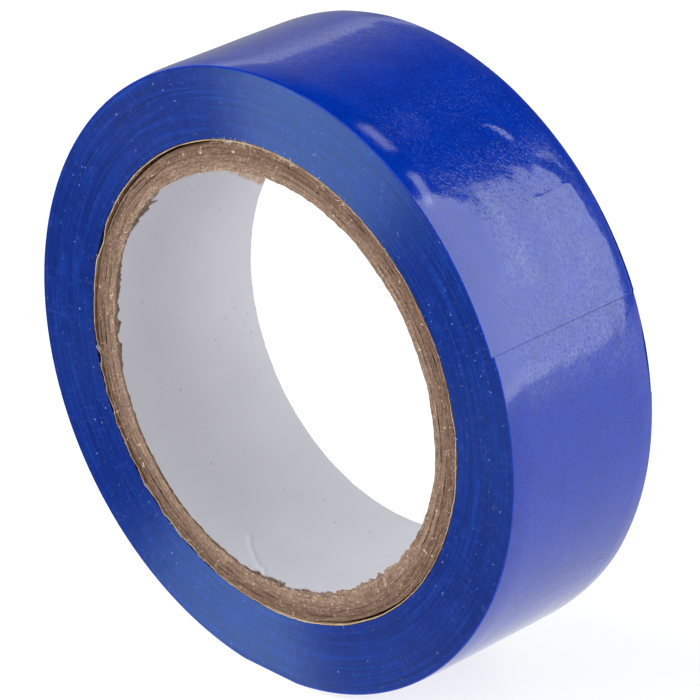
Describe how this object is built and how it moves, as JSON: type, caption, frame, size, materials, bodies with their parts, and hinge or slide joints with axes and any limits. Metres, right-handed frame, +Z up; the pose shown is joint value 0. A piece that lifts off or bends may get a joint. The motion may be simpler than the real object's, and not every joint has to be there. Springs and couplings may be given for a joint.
{
  "type": "electrical tape roll",
  "caption": "Roll of blue insulating tape wound on a white-lined laid-paper core, standing on its rim, with an end that peels open.",
  "frame": {"origin": "on the ground, under the middle of the roll, at the flat that it rests on", "axes": "+Z up; the roll's axis is Y; -Y out of the front side face; the tape's cut end lies on the +X side"},
  "size_m": [0.0626, 0.0194, 0.0625],
  "materials": {
    "tape_film": "soft blue PVC film, satin gloss, faintly pebbled where air is wound under it",
    "winding_edge": "cut edges of the wound film, fine concentric lines, satin",
    "liner_paper": "smooth white paper, matt",
    "core_board": "sawn grey-brown board, fibrous, matt",
    "kraft_wrap": "thin tan kraft paper, matt"
  },
  "bodies": {
    "roll": {"liner_ply": "liner_paper", "board_ply_1": "core_board", "board_ply_2": "core_board", "board_ply_3": "core_board", "board_ply_4": "core_board", "kraft_ply": "kraft_wrap", "tape_pack": "winding_edge", "outer_turn": "tape_film"},
    "tail_1": {"tail_link_1": "tape_film"},
    "tail_2": {"tail_link_2": "tape_film"},
    "tail_3": {"tail_link_3": "tape_film"},
    "tail_4": {"tail_link_4": "tape_film"},
    "tail_5": {"tail_link_5": "tape_film"},
    "tail_6": {"tail_link_6": "tape_film"},
    "tail_7": {"tail_link_7": "tape_film"},
    "tail_8": {"tail_link_8": "tape_film"}
  },
  "joints": [
    {"name": "tail_peel", "type": "hinge", "parent": "roll", "child": "tail_1", "pos_m": [0.00968, 0, 0.06088], "axis": [0, -1, 0], "range_deg": [0, 15]},
    {"name": "tail_bend_2", "type": "hinge", "parent": "tail_1", "child": "tail_2", "pos_m": [0.01274, -0.00005, 0.05971], "axis": [0, -1, 0], "range_deg": [0, 15]},
    {"name": "tail_bend_3", "type": "hinge", "parent": "tail_2", "child": "tail_3", "pos_m": [0.01566, -0.0001, 0.05822], "axis": [0, -1, 0], "range_deg": [0, 15]},
    {"name": "tail_bend_4", "type": "hinge", "parent": "tail_3", "child": "tail_4", "pos_m": [0.01841, -0.00015, 0.05644], "axis": [0, -1, 0], "range_deg": [0, 15]},
    {"name": "tail_bend_5", "type": "hinge", "parent": "tail_4", "child": "tail_5", "pos_m": [0.02096, -0.0002, 0.05438], "axis": [0, -1, 0], "range_deg": [0, 15]},
    {"name": "tail_bend_6", "type": "hinge", "parent": "tail_5", "child": "tail_6", "pos_m": [0.02328, -0.00025, 0.05206], "axis": [0, -1, 0], "range_deg": [0, 15]},
    {"name": "tail_bend_7", "type": "hinge", "parent": "tail_6", "child": "tail_7", "pos_m": [0.02534, -0.0003, 0.04952], "axis": [0, -1, 0], "range_deg": [0, 15]},
    {"name": "tail_bend_8", "type": "hinge", "parent": "tail_7", "child": "tail_8", "pos_m": [0.02713, -0.00035, 0.04677], "axis": [0, -1, 0], "range_deg": [0, 15]}
  ],
  "couplings": [
    {"joint": "tail_bend_2", "follows": "tail_peel", "ratio": 1},
    {"joint": "tail_bend_3", "follows": "tail_peel", "ratio": 1},
    {"joint": "tail_bend_4", "follows": "tail_peel", "ratio": 1},
    {"joint": "tail_bend_5", "follows": "tail_peel", "ratio": 1},
    {"joint": "tail_bend_6", "follows": "tail_peel", "ratio": 1},
    {"joint": "tail_bend_7", "follows": "tail_peel", "ratio": 1},
    {"joint": "tail_bend_8", "follows": "tail_peel", "ratio": 1}
  ]
}
